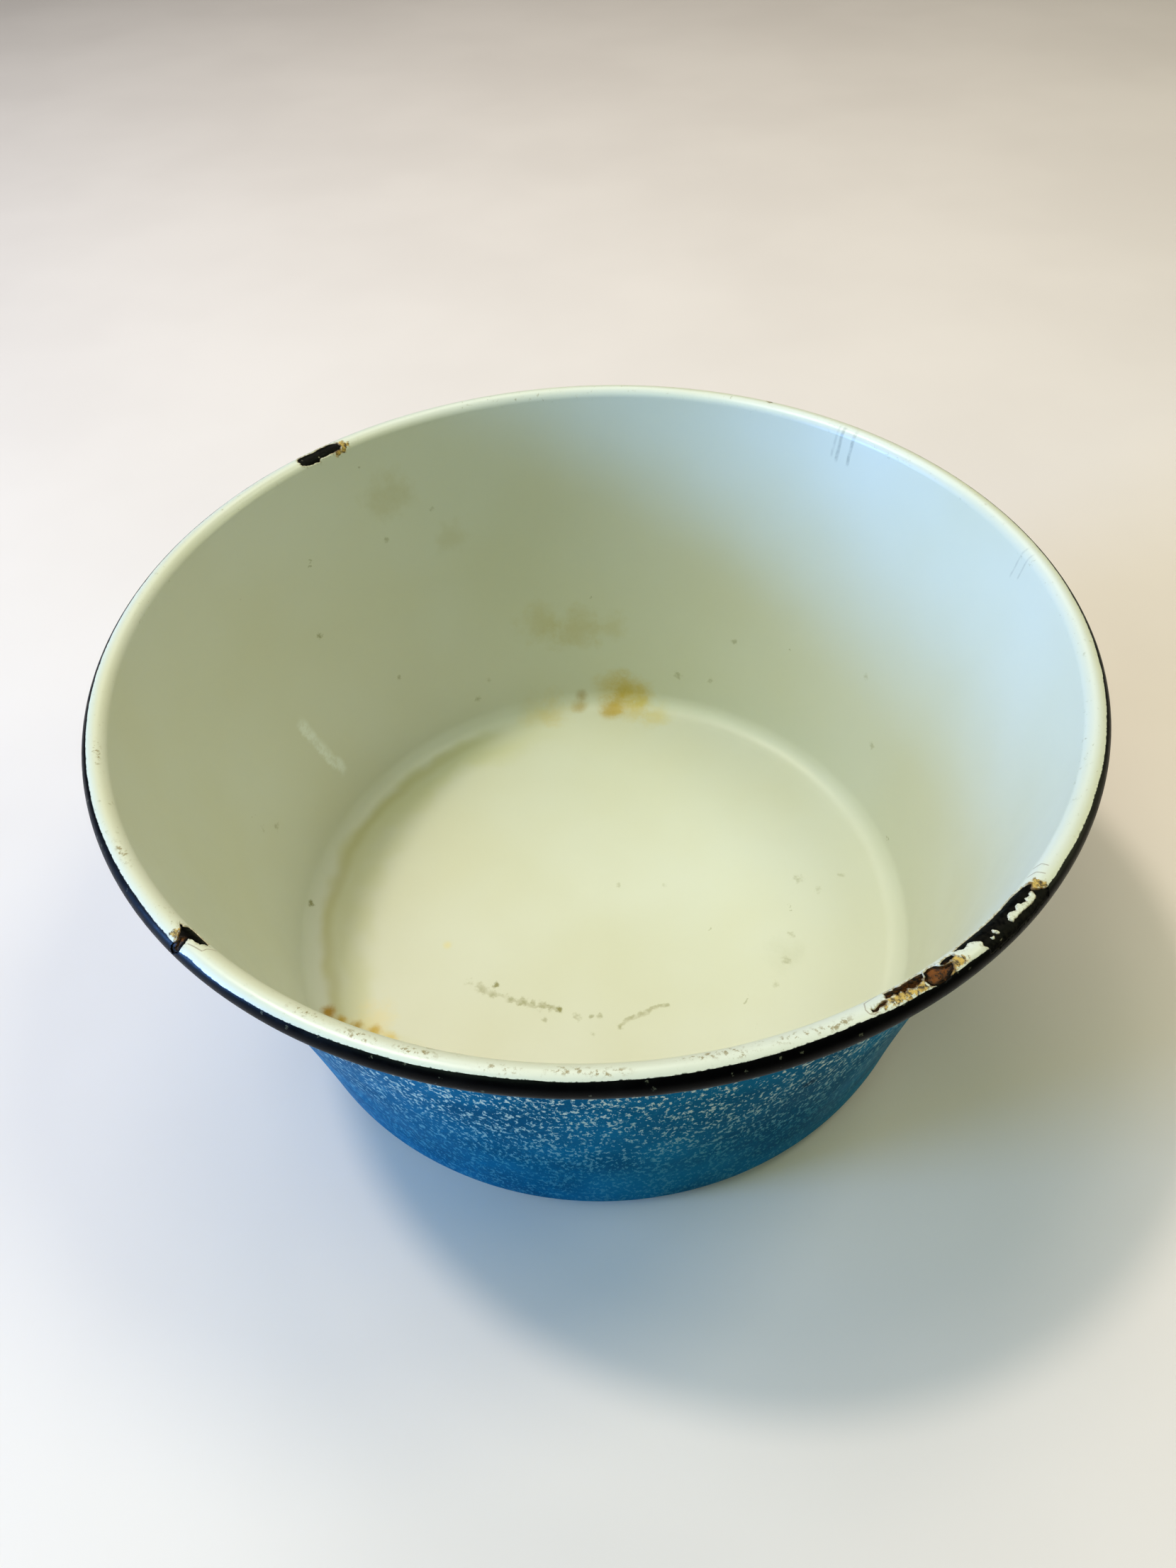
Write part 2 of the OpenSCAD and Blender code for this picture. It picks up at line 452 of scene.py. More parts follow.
# White coat: floor, corner and wall, then over the bead to the black band
whiteCoat = {
    "rows": (10, 10, 20), "bead": 38, "backRows": (2, 4, 6), "backBead": 6,
    "chipRamp": 0.3 * mm, "chipFloor": 0.04 * mm,
}


def makeInteriorEnamel():
    front = np.vstack([pathRows(*whiteCoat["rows"]) * wide, beadRows(wallTop, edge, whiteCoat["bead"])])
    back = np.vstack([beadRows(wallTop, edge, whiteCoat["backBead"])[::-1],
                      pathRows(*whiteCoat["backRows"])[::-1] * wide])
    shift, cover = coverShift(front, whiteCoat)
    phi = beadPhi(front)
    x, y = beadPlane(rimAngles, phi)
    length, breadth = wear["dirtSize"]
    dirt = np.zeros(front.shape)
    for place in wear["dirt"]:
        px, py = beadPlane(*place)
        dirt = np.maximum(dirt, np.exp(-((x - px) / length) ** 2 - ((y - py) / breadth) ** 2))
    return insideShell("interior_enamel_coat", front, back, shift, groundFace - depthUnder, True, {
        "chipGap": faceMask(cover, back),
        "stainGap": faceMask(nearestGap(outlineGap, rimAngles, phi, wear["stains"]), back),
        "hairGap": faceMask(nearestGap(lineGap, rimAngles, phi, wear["hairlines"]), back),
        "edgeGap": faceMask(np.radians(phi - edge) * beadR, back),
        "dirtNear": np.vstack([dirt, np.zeros(back.shape)]),
    })


# Black coat: from the white's edge round the outside of the bead to the end of the curl
blackBand = {
    "upper": 30, "lower": 16, "back": 14, "split": -25,
    "chipRamp": 0.3 * mm, "chipFloor": 0.04 * mm,
}


def makeRimBand():
    front = np.vstack([
        beadP(edge)[None],
        beadRows(edge, blackBand["split"], blackBand["upper"]),
        beadRows(blackBand["split"], section["curlEnd"], blackBand["lower"]) * wide,
    ])
    share = np.linspace(0, 1, blackBand["back"])[:, None]
    back = beadP(section["curlEnd"] + (edge - section["curlEnd"]) * share)
    shift, cover = coverShift(front, blackBand)
    return insideShell("rim_band_coat", front, back, shift, groundFace - depthUnder, False, {
        "chipGap": faceMask(cover, back),
    })


# Path places of a layer under the cover coats: inside face, then the curl in fine and coarse rows
def underRows(layer):
    return np.vstack([
        pathRows(*layer["rows"]) * wide,
        beadRows(wallTop, layer["split"], layer["bead"]) * wide,
        beadRows(layer["split"], section["curlEnd"], layer["beadLow"]) * wide,
    ])


# The same layer's hidden side, from the end of the curl back to the axis
def underBackRows(layer):
    return np.vstack([
        beadRows(wallTop, section["curlEnd"], layer["backBead"])[::-1] * wide,
        pathRows(*layer["backRows"])[::-1] * wide,
    ])


brokenGrain = {"finer": 2.2, "fineShare": 0.65, "swing": 0.5}


# Depth of broken enamel or rust: two sizes of noise on the unrolled bead, about a level
def brokenDepth(phi, layer):
    x, y = beadPlane(rimAngles, phi)
    coarse = layer["grain"]
    fine = coarse / brokenGrain["finer"]
    rough = valueNoise(x / coarse, y / coarse, layer["seed"])
    rough = rough + brokenGrain["fineShare"] * valueNoise(x / fine, y / fine, layer["seed"] + 1)
    return layer["relief"] * np.clip(layer["level"] + brokenGrain["swing"] * rough, 0, 1)


# Dark ground coat inside: rough where the chips uncover it, and open where the steel rusts.
# Pairs are gaps where an effect starts and where it is full
innerGround = {
    "rows": (3, 6, 8), "bead": 46, "beadLow": 10, "split": 20, "backRows": (2, 4, 6), "backBead": 10,
    "relief": 0.07 * mm, "grain": 0.65 * mm, "level": 0.55, "seed": 41,
    "broken": (0.1 * mm, -0.3 * mm), "opened": (0.05 * mm, -0.25 * mm),
    "sunk": 0.1 * mm,         # below the sheet's face where the steel is bare
    "tuck": 0.05 * mm,        # hidden side below the sheet's face, and more in the rusted spans
    "tuckMore": 0.12 * mm,
}


def makeInnerGround():
    front = underRows(innerGround)
    back = underBackRows(innerGround)
    phi = beadPhi(front)
    cover, steel = chipGaps(rimAngles, phi)
    shift = groundFace - brokenDepth(phi, innerGround) * smoothStep(*innerGround["broken"], cover)
    opened = smoothStep(*innerGround["opened"], steel)
    shift = shift + (sheetFace - innerGround["sunk"] - shift) * opened
    steelSpan = np.minimum(depthUnder / hiddenDepth["steelSpans"], 1) ** 4
    hiddenShift = sheetFace - innerGround["tuck"] - innerGround["tuckMore"] * steelSpan
    rust = np.minimum(nearestGap(outlineGap, rimAngles, phi, wear["rustyGround"]), steel)
    return insideShell("inner_ground_layer", front, back, shift, hiddenShift, True, {
        "rustGap": faceMask(rust, back),
    })


# Pressed sheet: inside face, curl, and back along the outside face; pitted where it is bare
steelSheet = {
    "rows": (3, 6, 8), "bead": 40, "beadLow": 10, "split": 20, "backRows": (3, 6, 8), "backBead": 14,
    "relief": 0.09 * mm, "grain": 0.6 * mm, "level": 0.4, "seed": 51,
    "broken": (0.1 * mm, -0.3 * mm),
}


def makeSteelBody():
    front = underRows(steelSheet)
    back = underBackRows(steelSheet)
    phi = beadPhi(front)
    _, steel = chipGaps(rimAngles, phi)
    shift = sheetFace - brokenDepth(phi, steelSheet) * smoothStep(*steelSheet["broken"], steel)
    return insideShell("steel_sheet", front, back, shift, -sheetFace, True, {
        "bareGap": faceMask(steel, back),
    })


# Wire: a circle carried round the rim
rimWire = {"r": 1.95 * mm, "sides": 24, "columns": 180}


def makeRimWire():
    angles = np.linspace(-180, 180, rimWire["columns"], endpoint=False)
    turn = np.radians(np.linspace(0, -360, rimWire["sides"], endpoint=False))[:, None]
    r = curlC[0] + rimWire["r"] * np.cos(turn) + 0 * angles
    z = curlC[1] + rimWire["r"] * np.sin(turn) + 0 * angles
    return turnedShell("rim_wire_ring", r, z, angles, False, slice(0, rimWire["sides"]), {})


# Path places under the base and up the outside, ending where the outside coats stop
def outsideRows(floor, corner, wall):
    rows = pathRows(floor, corner, wall)
    return np.where(rows > 2, 2 + (rows - 2) * (coatStopP - 2), rows)


wavesFrom = 1.2           # place on the path: past the flat that stands on the table


# Outside coats: hidden side out from the axis first, then back down the side that shows
def outsideShell(name, coat, faceShift, hiddenShift):
    angles = np.linspace(-180, 180, coat["columns"], endpoint=False)
    back = outsideRows(*coat["backRows"]) + 0 * angles
    front = outsideRows(*coat["rows"])[::-1] + 0 * angles
    away = -slowWaves(angles, front) * coat["waves"] * (front > wavesFrom)
    r, z = layerSection(back, front, hiddenShift, faceShift + away)
    return turnedShell(name, r, z, angles, True, slice(len(back), len(back) + len(front)), {})


blueCoat = {"columns": 480, "rows": (12, 12, 44), "backRows": (2, 4, 6), "waves": 1}


def makeExteriorEnamel():
    return outsideShell("exterior_enamel_coat", blueCoat, -coverFace, -groundFace + hiddenDepth["plain"])


outerGround = {"columns": 180, "rows": (3, 8, 12), "backRows": (2, 4, 6), "waves": 0}


def makeOuterGround():
    return outsideShell("outer_ground_layer", outerGround, -groundFace, -sheetFace + hiddenDepth["plain"])


# Node helpers. New nodes go into the tree that was started last
bench = {"tree": None}


def startTree(tree):
    tree.nodes.clear()
    bench["tree"] = tree


# A node's inputs set or linked, and a new node with its settings
def fill(node, values):
    for key, value in values.items():
        if isinstance(value, bpy.types.NodeSocket):
            bench["tree"].links.new(value, node.inputs[key])
        else:
            node.inputs[key].default_value = value


def put(kind, values=None, **settings):
    node = bench["tree"].nodes.new("ShaderNode" + kind)
    for key, value in settings.items():
        setattr(node, key, value)
    fill(node, values or {})
    return node


def calc(operation, a, b=0.0, clamp=False):
    return put("Math", {0: a, 1: b}, operation=operation, use_clamp=clamp).outputs[0]


def times(a, b):
    return calc("MULTIPLY", a, b)


def plus(a, b):
    return calc("ADD", a, b)


def vectorCalc(operation, a, b=(0, 0, 0), output=0):
    return put("VectorMath", {0: a, 1: b}, operation=operation).outputs[output]


# A value carried from one range to another by a smooth step
def ramp(value, low, high, toLow=0.0, toHigh=1.0):
    return put("MapRange", {
        "Value": value, "From Min": low, "From Max": high, "To Min": toLow, "To Max": toHigh,
    }, interpolation_type="SMOOTHSTEP").outputs["Result"]


def mixColour(factor, a, b):
    return put("Mix", {0: factor, 6: a, 7: b}, data_type="RGBA").outputs[2]


# A tint over the base where a mask shows, by its strength
def layOver(base, mask, tint, strength):
    return mixColour(times(mask, strength), base, tint)


def noise(vector, scale, detail=2.0, roughness=0.5, output=0):
    return put("TexNoise", {
        "Vector": vector, "Scale": scale, "Detail": detail, "Roughness": roughness,
    }).outputs[output]


def objectPlace():
    return put("TexCoord").outputs["Object"]


def heightOf(place):
    return put("SeparateXYZ", {0: place}).outputs["Z"]


def attribute(name):
    return put("Attribute", attribute_name=name).outputs["Fac"]


def bump(height, strength, distance):
    return put("Bump", {"Height": height, "Strength": strength, "Distance": distance}).outputs[0]


# Display colour, 0 to 255, as a linear colour
def colour(red, green, blue):
    share = np.array([red, green, blue]) / 255
    linear = np.where(share < 0.04045, share / 12.92, ((share + 0.055) / 1.055) ** 2.4)
    return (*[float(c) for c in linear], 1.0)


# A shader node group: inputs by their first values, and the names of its outputs
def newGroup(name, inputs, outputs):
    group = bpy.data.node_groups.new(name, "ShaderNodeTree")
    startTree(group)
    for label, value in inputs.items():
        kind = "NodeSocketVector" if isinstance(value, tuple) else "NodeSocketFloat"
        group.interface.new_socket(label, in_out="INPUT", socket_type=kind).default_value = value
    for label in outputs:
        kind = "NodeSocketColor" if label == "Color" else "NodeSocketFloat"
        group.interface.new_socket(label, in_out="OUTPUT", socket_type=kind)
    return group, group.nodes.new("NodeGroupInput").outputs, group.nodes.new("NodeGroupOutput")


def useGroup(group, values, output):
    return put("Group", values, node_tree=group).outputs[output]


noiseMiddle = 0.5         # value that noises swing about
stirSwing = 4.0           # how far a noise pushes the edge of a spot, in radii


# Ragged spot: distance from a centre as a share of its radius, pushed about by a noise, falling off at 1
def makeSpotGroup():
    group, given, result = newGroup("stainSpot", {
        "Centre": (0, 0, 0), "Radius": 0.01, "Ragged": 0.5, "Stir": 0.5,
    }, ["Mask"])
    away = vectorCalc("DISTANCE", objectPlace(), given["Centre"], "Value")
    share = calc("DIVIDE", away, given["Radius"])
    stir = times(calc("SUBTRACT", given["Stir"], noiseMiddle), stirSwing)
    stir = times(stir, given["Ragged"])
    fill(result, {"Mask": ramp(plus(share, stir), 1.0, 0.0)})
    return group


# Thin line: a slab across a direction, wandering with a noise, kept within a ball about its centre
def makeHairlineGroup():
    group, given, result = newGroup("hairline", {
        "Centre": (0, 0, 0), "Across": (1, 0, 0), "Width": 0.0002, "Length": 0.01, "Wander": 0.0005,
        "Stir": 0.5,
    }, ["Mask"])
    away = vectorCalc("SUBTRACT", objectPlace(), given["Centre"])
    side = vectorCalc("DOT_PRODUCT", away, given["Across"], "Value")
    stir = calc("SUBTRACT", given["Stir"], noiseMiddle)
    side = plus(side, times(stir, given["Wander"]))
    gap = calc("DIVIDE", calc("ABSOLUTE", side), given["Width"])
    reach = vectorCalc("LENGTH", away, output="Value")
    within = ramp(calc("DIVIDE", reach, given["Length"]), 0.52, 0.4)
    fill(result, {"Mask": times(ramp(gap, 1.0, 0.3), within)})
    return group


# Scattered specks: random cells of a cell pattern hold one, fewer where a slow noise is low
speckLook = {"warpFiner": 3.0, "patches": 28, "patchRange": (0.4, 0.7, 0.2, 1.6)}


def makeSpeckGroup():
    group, given, result = newGroup("scatteredSpecks", {
        "Grain": 300.0, "Size": 0.2, "Share": 0.1,
    }, ["Mask"])
    place = objectPlace()
    warp = noise(place, times(given["Grain"], speckLook["warpFiner"]), output="Color")
    warp = vectorCalc("SUBTRACT", warp, (noiseMiddle,) * 3)
    scaled = put("VectorMath", {0: place, "Scale": given["Grain"]}, operation="SCALE").outputs[0]
    warped = vectorCalc("ADD", scaled, warp)
    cells = put("TexVoronoi", {"Vector": warped, "Scale": 1.0})
    pick = put("SeparateColor", {0: cells.outputs["Color"]}).outputs[0]
    slow = ramp(noise(place, speckLook["patches"]), *speckLook["patchRange"])
    chosen = calc("LESS_THAN", pick, times(given["Share"], slow))
    speck = ramp(calc("DIVIDE", cells.outputs["Distance"], given["Size"]), 1.0, 0.5)
    fill(result, {"Mask": times(speck, chosen)})
    return group


# Fired glass: soft ripples with finer pinholes
pinholeFiner = 9.0


def makeGlazeGroup():
    group, given, result = newGroup("glazeRipple", {
        "Ripple": 90.0, "Pinholes": 0.12,
    }, ["Height"])
    place = objectPlace()
    slow = noise(place, given["Ripple"], 3, 0.45)
    fine = noise(place, times(given["Ripple"], pinholeFiner))
    fill(result, {"Height": plus(slow, times(fine, given["Pinholes"]))})
    return group


# Rust: crusts from near-black through brown to orange, with the crust's height.
# Slow and pits are how much coarser or finer than the grain they are
rustLook = {
    "dark": colour(10, 7, 4), "brown": colour(66, 42, 14), "orange": colour(146, 84, 18),
    "pit": colour(12, 8, 5), "pitStrength": 0.85, "slow": 0.4, "pits": 2.2,
}


def makeRustGroup():
    look = rustLook
    group, given, result = newGroup("rustCrust", {
        "Grain": 900.0, "Orange": 0.6,
    }, ["Color", "Height"])
    place = objectPlace()
    crust = noise(place, given["Grain"], 6, 0.7)
    slow = noise(place, times(given["Grain"], look["slow"]), 3)
    pits = noise(place, times(given["Grain"], look["pits"]), 3, 0.6)
    base = mixColour(ramp(crust, 0.44, 0.62), look["dark"], look["brown"])
    base = layOver(base, ramp(slow, 0.4, 0.58), look["orange"], given["Orange"])
    pitted = ramp(pits, 0.52, 0.62, 0, look["pitStrength"])
    base = mixColour(pitted, base, look["pit"])
    fill(result, {"Color": base, "Height": crust})
    return group


spotGroup = makeSpotGroup()
hairlineGroup = makeHairlineGroup()
speckGroup = makeSpeckGroup()
glazeGroup = makeGlazeGroup()
rustGroup = makeRustGroup()
glassIor = 1.5


def newMaterial(name):
    material = bpy.data.materials.new(name)
    material.use_nodes = True
    startTree(material.node_tree)
    shader = put("BsdfPrincipled")
    put("OutputMaterial", {"Surface": shader.outputs[0]})
    return material, shader


# Fired glass: a colour and roughness, rippled by the glaze, with its own gloss
def finishGlass(shader, base, rough, look):
    ripple = useGroup(glazeGroup, look["glaze"], "Height")
    fill(shader, {
        "Base Color": base, "Roughness": rough, "Normal": bump(ripple, *look["bump"]),
        "IOR": glassIor, "Specular IOR Level": look["gloss"],
    })


# White enamel: cream glass with stains, a painted shadow of the rim at the foot of the wall, scratches and
# dirty wear round the chips.
# Places are in millimetres from the middle of the base, and noises are (scale, detail, roughness)
whiteLook = {
    "cream": colour(211, 211, 199),
    "yellowed": colour(206, 202, 175),
    "cloud": (16, 2, 0.5), "cloudStrength": 0.4,
    "stir": (130, 5, 0.65), "fineStir": (520, 4, 0.65), "slowStir": (45, 2), "patchy": (900, 4, 0.65),
    "worn": (35, 4, 0.6), "rough": (0.3, 0.4), "floorRough": 0.14, "stainRough": 0.3,
    "glaze": {"Ripple": 45.0, "Pinholes": 0.02}, "bump": (0.05, 0.4 * mm), "gloss": 0.5,
    "specks": {"Grain": 110.0, "Size": 0.09, "Share": 0.05}, "speckStrength": 0.4,
    # Rings at the foot of the wall: radius, width, heading, half spread in degrees, strength, colour. The
    # broad first ring is partly stain and partly a painted shadow of the rim on the floor; the thin second
    # ring is a stain line
    "stainAndShadowRings": [
        (89, 11, 172, 80, 0.25, colour(188, 186, 96)),
        (95, 4.5, 172, 66, 0.3, colour(172, 162, 54)),
    ],
    # Stains: place, radius, raggedness, strength, colour
    "stains": [
        ((8, 103, 10), 10, 0.35, 0.55, colour(194, 170, 74)),
        ((14, 102, 8), 10, 0.35, 0.6, colour(192, 168, 68)),
        ((19, 100.5, 6.5), 9, 0.35, 0.55, colour(196, 172, 76)),
        ((6.5, 97, 2), 7, 0.35, 0.75, colour(186, 156, 50)),
        ((10.5, 99, 3), 7, 0.35, 0.6, colour(192, 162, 66)),
        ((17, 96, 2), 9, 0.4, 0.55, colour(204, 182, 96)),
        ((24, 93, 2), 9, 0.4, 0.45, colour(208, 190, 112)),
        ((-4.5, 102, 6), 3.4, 0.3, 0.6, colour(160, 136, 66)),
        ((-5.5, 99, 3), 4.5, 0.3, 0.6, colour(176, 148, 66)),
        ((-15.5, 97, 2), 10, 0.4, 0.4, colour(204, 184, 112)),
        ((-24, 95.5, 2.5), 10, 0.4, 0.3, colour(206, 188, 120)),
        ((-77, -42, 2), 12, 0.4, 0.35, colour(226, 204, 136)),
        ((-90.5, -37, 2), 3.4, 0.4, 0.95, colour(168, 128, 0)),
        ((-86, -40, 2), 3, 0.4, 0.9, colour(178, 142, 0)),
        ((-80.5, -42.5, 2), 4, 0.4, 0.95, colour(166, 132, 0)),
        ((-75, -44.5, 2), 3.4, 0.4, 0.85, colour(188, 152, 10)),
        ((-69, -47.5, 2), 4, 0.4, 0.6, colour(210, 178, 60)),
        ((-18, 105, 41), 12, 0.5, 0.3, colour(188, 174, 106)),
        ((-5, 106, 38), 13, 0.5, 0.34, colour(186, 170, 100)),
        ((8, 106, 37), 9, 0.5, 0.26, colour(188, 174, 106)),
        ((-66, 98, 105), 11, 0.5, 0.26, colour(176, 164, 100)),
        ((-48, 105, 84), 8, 0.5, 0.2, colour(180, 168, 106)),
        ((60, -22, 2), 9, 0.5, 0.16, colour(168, 168, 136)),
        ((-53, -13, 2), 2.4, 0.3, 0.4, colour(224, 206, 128)),
    ],
    # Small dark marks: place, radius, strength
    "marks": [
        ((-91, 66, 73), 1.6, 0.7), ((-106, 12, 38), 1.8, 0.4), ((-108, 6, 45), 1.4, 0.4),
        ((-71, 80, 40), 1.3, 0.5), ((-53, 105, 95), 1.2, 0.45), ((-45, 93, 15), 1.6, 0.4),
        ((-68, 94, 91), 1.2, 0.4), ((97, 42, 32), 1.5, 0.4), ((94, 55, 53), 1.4, 0.4),
        ((54, 92, 39), 1.4, 0.45), ((-40, 96, 22), 1.4, 0.4), ((-101, 5, 5), 1.6, 0.8),
        ((46, 93, 19), 1.4, 0.4), ((34, 98, 18), 2, 0.4), ((6, 9, 2), 1.2, 0.35), ((22, 8, 2), 1.1, 0.3),
        ((69, 8, 2), 2.2, 0.4), ((75, 3, 2), 1.6, 0.3), ((84, 9, 2), 1.4, 0.3), ((63, -15, 2), 1.4, 0.4),
        ((60, -25, 2), 2, 0.35), ((55, -34, 2), 1.5, 0.3),
        # the broken trail across the floor
        ((-45, -28, 2), 1.8, 0.35), ((-41, -31, 2), 2.2, 0.4), ((-36, -29.5, 2), 1.7, 0.9),
        ((-37, -33, 2), 1.6, 0.45), ((-31, -35, 2), 1.7, 0.55), ((-27, -36, 2), 2.2, 0.6),
        ((-24, -37, 2), 1.5, 0.5), ((-21, -38, 2), 2.4, 0.5), ((-18, -39, 2), 1.8, 0.55),
        ((-15.5, -39.5, 2), 1.7, 0.95), ((-20, -43, 2), 1.1, 0.45), ((-10, -43, 2), 1.8, 0.4),
        ((-5, -42.5, 2), 1.4, 0.55), ((-2, -42.5, 2), 1.3, 0.5), ((-5, -49, 2), 1.1, 0.55),
        ((4, -47, 2), 1.2, 0.5), ((19.5, -40, 2), 1.1, 0.5),
    ],
    "mark": colour(136, 132, 80),
    "markRagged": 0.8,
    # Lines: start, end, width, wander, strength, colour
    "lines": [
        ((3, -47, 2), (8, -43.5, 2), 1.1, 5, 0.45, colour(140, 134, 84)),
        ((7, -44, 2), (20, -39.5, 2), 1.1, 6, 0.5, colour(140, 134, 84)),
        ((-43, -29, 2), (-32, -34, 2), 1.3, 10, 0.3, colour(140, 134, 84)),
        ((-33, -35, 2), (-14, -40, 2), 1.3, 12, 0.35, colour(140, 134, 84)),
        ((85, 93.5, 126), (81.8, 89.7, 115.5), 0.8, 1, 0.42, colour(120, 124, 116)),
        ((88.2, 90.6, 126), (84.9, 86.9, 115.5), 0.8, 1, 0.46, colour(120, 124, 116)),
        ((83.6, 94.6, 126), (80.6, 91.2, 116.5), 0.6, 1, 0.24, colour(130, 134, 124)),
        ((123, 26, 126), (119.3, 25, 116.5), 0.45, 1, 0.26, colour(132, 130, 124)),
        ((123.3, 22.9, 126), (120.3, 22, 118), 0.45, 1, 0.28, colour(132, 130, 124)),
        ((-99, 44, 55), (-91, 51, 21), 2.8, 5, 0.55, colour(240, 244, 242)),
    ],
}


# Line settings for the hairline group: the slab stands on the floor, or on the wall where the line is high
def lineValues(start, end, width, wander):
    a = Vector(start) * mm
    b = Vector(end) * mm
    middle = (a + b) / 2
    normal = Vector((middle.x, middle.y, 0)) if middle.z > section["cornerR"] else Vector((0, 0, 1))
    side = (b - a).cross(normal).normalized()
    return {"Centre": middle, "Across": side, "Width": width * mm, "Length": (b - a).length,
            "Wander": wander * mm}


# Ragged spot at a place in millimetres
def spotMask(centre, radius, ragged, stir):
    values = {"Centre": Vector(centre) * mm, "Radius": radius * mm, "Ragged": ragged, "Stir": stir}
    return useGroup(spotGroup, values, "Mask")


# Stain and painted shadow round the foot of the wall: gap from a radius, faded by heading and broken by a
# noise
ringFade = {"stir": 0.4, "inner": 0.6, "height": (0.012, 0.006)}


def ringMask(place, stir, radius, width, heading, spread):
    level = vectorCalc("MULTIPLY", place, (1, 1, 0))
    gap = calc("SUBTRACT", vectorCalc("LENGTH", level, output="Value"), radius * mm)
    push = ringFade["stir"] * width * mm
    gap = plus(gap, ramp(stir, 0.3, 0.7, -push, push))
    band = ramp(calc("ABSOLUTE", gap), width * mm, 0.0)
    turn = math.radians(heading)
    facing = vectorCalc("DOT_PRODUCT", vectorCalc("NORMALIZE", level),
                        (math.cos(turn), math.sin(turn), 0), "Value")
    outer = math.radians(spread)
    within = ramp(facing, math.cos(outer), math.cos(outer * ringFade["inner"]))
    low = ramp(heightOf(place), *ringFade["height"])
    return times(times(band, within), low)


def paintFloorAndWall(place, base):
    look = whiteLook
    stir = noise(place, *look["stir"])
    fineStir = noise(place, *look["fineStir"])
    slowStir = noise(place, *look["slowStir"])
    # Rings at the foot of the wall: stain, and in the broad ring also a painted shadow of the rim
    for radius, width, heading, spread, strength, tint in look["stainAndShadowRings"]:
        mask = ringMask(place, slowStir, radius, width, heading, spread)
        base = layOver(base, mask, tint, strength)
    for centre, radius, ragged, strength, tint in look["stains"]:
        base = layOver(base, spotMask(centre, radius, ragged, stir), tint, strength)
    for centre, radius, strength in look["marks"]:
        mask = spotMask(centre, radius, look["markRagged"], fineStir)
        base = layOver(base, mask, look["mark"], strength)
    broken = ramp(fineStir, 0.36, 0.6, 0.45, 1)
    for start, end, width, wander, strength, tint in look["lines"]:
        mask = useGroup(hairlineGroup, {**lineValues(start, end, width, wander), "Stir": stir}, "Mask")
        base = layOver(base, times(mask, broken), tint, strength)
    specks = useGroup(speckGroup, look["specks"], "Mask")
    return layOver(base, specks, look["mark"], look["speckStrength"])


# Wear of the bead: ochre stains, rubbed-in dirt, hairline cracks, and the broken and feathered edges.
# Gaps are in millimetres, heights in metres
rimLook = {
    "streaks": (850, 200, 0), "streakNoise": (1, 5, 0.7),
    "ochre": (colour(64, 42, 12), colour(200, 164, 80)),
    "grime": (colour(136, 116, 70), 0.8), "grimeNoise": (900, 5, 0.7),
    "dust": colour(150, 140, 104), "dustNoise": (700, 6, 0.72), "dustPatches": (60, 3),
    "dustFrom": (0.122, 0.1245),
    "crack": colour(112, 76, 44), "crackStrength": 0.55,
    "chafed": colour(122, 106, 70), "chafedNoise": (1700, 4, 0.7), "chafedStrength": 0.6,
    "chipEdge": colour(150, 126, 84), "chipEdgeStrength": 0.5,
    "rustyEdge": colour(96, 66, 26), "rustyEdgeStrength": 0.85,
    "chipWall": colour(46, 38, 28),
    "bandEdge": colour(16, 16, 16),
}


def paintRim(place, base, stained, patchy):
    look = rimLook
    unrolled = put("UVMap", uv_map=shellMesh["uvMap"]).outputs[0]
    streaks = vectorCalc("MULTIPLY", unrolled, look["streaks"])
    streaks = noise(streaks, *look["streakNoise"])
    ochre = mixColour(ramp(streaks, 0.4, 0.56), *look["ochre"])
    base = mixColour(stained, base, ochre)
    grime = ramp(noise(place, *look["grimeNoise"]), 0.5, 0.62)
    grime = times(grime, ramp(attribute("dirtNear"), 0.1, 0.8))
    base = layOver(base, grime, *look["grime"])
    onRim = ramp(heightOf(place), *look["dustFrom"])
    dust = times(ramp(noise(place, *look["dustNoise"]), 0.58, 0.7), onRim)
    patches = ramp(noise(place, *look["dustPatches"]), 0.4, 0.64, 0.15, 0.75)
    base = layOver(base, dust, look["dust"], patches)
    crack = ramp(attribute("hairGap"), 0.2, 0.06, 0, look["crackStrength"])
    base = mixColour(crack, base, look["crack"])
    chipGap = attribute("chipGap")
    chafed = noise(place, *look["chafedNoise"])
    chafed = ramp(chafed, 0.48, 0.62, 0, look["chafedStrength"])
    base = layOver(base, ramp(chipGap, 1.2, 0.1), look["chafed"], chafed)
    chipEdge = ramp(chipGap, 0.25, 0.0, 0, look["chipEdgeStrength"])
    base = mixColour(chipEdge, base, look["chipEdge"])
    rusty = ramp(attribute("stainGap"), 1.6, 0.2, 0, look["rustyEdgeStrength"])
    base = layOver(base, rusty, look["rustyEdge"], ramp(chipGap, 0.5, 0.1))
    base = mixColour(ramp(chipGap, 0.0, -0.1), base, look["chipWall"])
    edgeGap = plus(attribute("edgeGap"), ramp(patchy, 0.3, 0.7, -0.12, 0.2))
    return mixColour(ramp(edgeGap, 0.2, -0.06), base, look["bandEdge"])


def makeWhiteEnamel():
    look = whiteLook
    material, shader = newMaterial("white_enamel_fired")
    place = objectPlace()
    cloud = ramp(noise(place, *look["cloud"]), 0.3, 0.75, 0, look["cloudStrength"])
    base = mixColour(cloud, look["cream"], look["yellowed"])
    base = paintFloorAndWall(place, base)
    patchy = noise(place, *look["patchy"])
    stainEdge = plus(attribute("stainGap"), ramp(patchy, 0.3, 0.7, -0.7, 0.9))
    stained = ramp(stainEdge, 0.6, -0.3, 0, 0.95)
    base = paintRim(place, base, stained, patchy)
    worn = ramp(noise(place, *look["worn"]), 0.3, 0.75, *look["rough"])
    floorRough = ramp(heightOf(place), 0.006, 0.002, 0, look["floorRough"])
    stainRough = times(stained, look["stainRough"])
    rough = calc("ADD", plus(worn, floorRough), stainRough, clamp=True)
    finishGlass(shader, base, rough, look)
    return material
